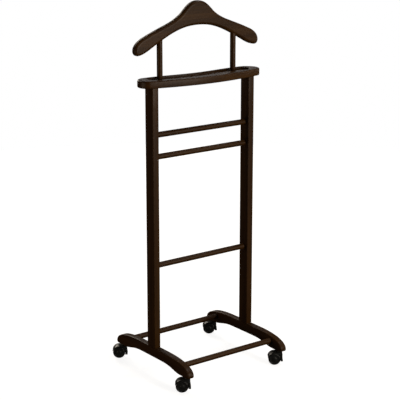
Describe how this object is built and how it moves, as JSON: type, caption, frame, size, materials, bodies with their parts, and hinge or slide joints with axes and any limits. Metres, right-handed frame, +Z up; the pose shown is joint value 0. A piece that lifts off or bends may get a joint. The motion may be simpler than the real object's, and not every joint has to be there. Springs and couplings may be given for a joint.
{
  "type": "valet stand",
  "caption": "Wooden clothes valet with a shaped jacket hanger, bow-shaped tray, trouser rungs and arched feet on swivel casters.",
  "frame": {"origin": "on the floor under the middle of the stand", "axes": "+Z up, -Y to the front where a person stands, +X along the hanger to that person's right"},
  "size_m": [0.4346, 0.3742, 1.075],
  "materials": {
    "walnut": "dark walnut stain under satin lacquer",
    "pin_wood": "bare beech",
    "hood_plastic": "fine satin",
    "wheel_plastic": "smooth satin",
    "steel": "zinc plated"
  },
  "bodies": {
    "root": {"hanger": "walnut", "hanger_post_left": "walnut", "hanger_post_right": "walnut", "tray": "walnut", "post_left": "walnut", "post_right": "walnut", "trouser_rung_upper": "walnut", "trouser_rung_lower": "walnut", "low_rung": "walnut", "foot_left": "walnut", "foot_right": "walnut", "base_bar_front": "walnut", "base_bar_back": "walnut", "tray_pin_left_front": "pin_wood", "foot_pin_left_front": "pin_wood", "tray_pin_left_back": "pin_wood", "foot_pin_left_back": "pin_wood", "foot_screw_left": "steel", "hanger_screw_left": "steel", "tray_pin_right_front": "pin_wood", "foot_pin_right_front": "pin_wood", "tray_pin_right_back": "pin_wood", "foot_pin_right_back": "pin_wood", "foot_screw_right": "steel", "hanger_screw_right": "steel", "caster_front_left_socket": "hood_plastic", "caster_front_left_stem": "steel", "caster_front_right_socket": "hood_plastic", "caster_front_right_stem": "steel", "caster_back_left_socket": "hood_plastic", "caster_back_left_stem": "steel", "caster_back_right_socket": "hood_plastic", "caster_back_right_stem": "steel"},
    "caster_front_left_fork": {"caster_front_left_hood": "hood_plastic", "caster_front_left_axle": "steel"},
    "caster_front_left_roller_a": {"caster_front_left_wheel_a": "wheel_plastic"},
    "caster_front_left_roller_b": {"caster_front_left_wheel_b": "wheel_plastic"},
    "caster_front_right_fork": {"caster_front_right_hood": "hood_plastic", "caster_front_right_axle": "steel"},
    "caster_front_right_roller_a": {"caster_front_right_wheel_a": "wheel_plastic"},
    "caster_front_right_roller_b": {"caster_front_right_wheel_b": "wheel_plastic"},
    "caster_back_left_fork": {"caster_back_left_hood": "hood_plastic", "caster_back_left_axle": "steel"},
    "caster_back_left_roller_a": {"caster_back_left_wheel_a": "wheel_plastic"},
    "caster_back_left_roller_b": {"caster_back_left_wheel_b": "wheel_plastic"},
    "caster_back_right_fork": {"caster_back_right_hood": "hood_plastic", "caster_back_right_axle": "steel"},
    "caster_back_right_roller_a": {"caster_back_right_wheel_a": "wheel_plastic"},
    "caster_back_right_roller_b": {"caster_back_right_wheel_b": "wheel_plastic"}
  },
  "joints": [
    {"name": "caster_front_left_swivel", "type": "hinge", "parent": "root", "child": "caster_front_left_fork", "pos_m": [-0.17, -0.161, 0.0375], "axis": [0, 0, 1], "continuous": true},
    {"name": "caster_front_left_spin_a", "type": "hinge", "parent": "caster_front_left_fork", "child": "caster_front_left_roller_a", "pos_m": [-0.18096, -0.15312, 0.01837], "axis": [-0.5835, -0.8121, 0], "continuous": true},
    {"name": "caster_front_left_spin_b", "type": "hinge", "parent": "caster_front_left_fork", "child": "caster_front_left_roller_b", "pos_m": [-0.18096, -0.15312, 0.01837], "axis": [-0.5835, -0.8121, 0], "continuous": true},
    {"name": "caster_front_right_swivel", "type": "hinge", "parent": "root", "child": "caster_front_right_fork", "pos_m": [0.17, -0.161, 0.0375], "axis": [0, 0, 1], "continuous": true},
    {"name": "caster_front_right_spin_a", "type": "hinge", "parent": "caster_front_right_fork", "child": "caster_front_right_roller_a", "pos_m": [0.15904, -0.15312, 0.01837], "axis": [-0.5835, -0.8121, 0], "continuous": true},
    {"name": "caster_front_right_spin_b", "type": "hinge", "parent": "caster_front_right_fork", "child": "caster_front_right_roller_b", "pos_m": [0.15904, -0.15312, 0.01837], "axis": [-0.5835, -0.8121, 0], "continuous": true},
    {"name": "caster_back_left_swivel", "type": "hinge", "parent": "root", "child": "caster_back_left_fork", "pos_m": [-0.17, 0.161, 0.0375], "axis": [0, 0, 1], "continuous": true},
    {"name": "caster_back_left_spin_a", "type": "hinge", "parent": "caster_back_left_fork", "child": "caster_back_left_roller_a", "pos_m": [-0.18096, 0.16888, 0.01837], "axis": [-0.5835, -0.8121, 0], "continuous": true},
    {"name": "caster_back_left_spin_b", "type": "hinge", "parent": "caster_back_left_fork", "child": "caster_back_left_roller_b", "pos_m": [-0.18096, 0.16888, 0.01837], "axis": [-0.5835, -0.8121, 0], "continuous": true},
    {"name": "caster_back_right_swivel", "type": "hinge", "parent": "root", "child": "caster_back_right_fork", "pos_m": [0.17, 0.161, 0.0375], "axis": [0, 0, 1], "continuous": true},
    {"name": "caster_back_right_spin_a", "type": "hinge", "parent": "caster_back_right_fork", "child": "caster_back_right_roller_a", "pos_m": [0.15904, 0.16888, 0.01837], "axis": [-0.5835, -0.8121, 0], "continuous": true},
    {"name": "caster_back_right_spin_b", "type": "hinge", "parent": "caster_back_right_fork", "child": "caster_back_right_roller_b", "pos_m": [0.15904, 0.16888, 0.01837], "axis": [-0.5835, -0.8121, 0], "continuous": true}
  ]
}
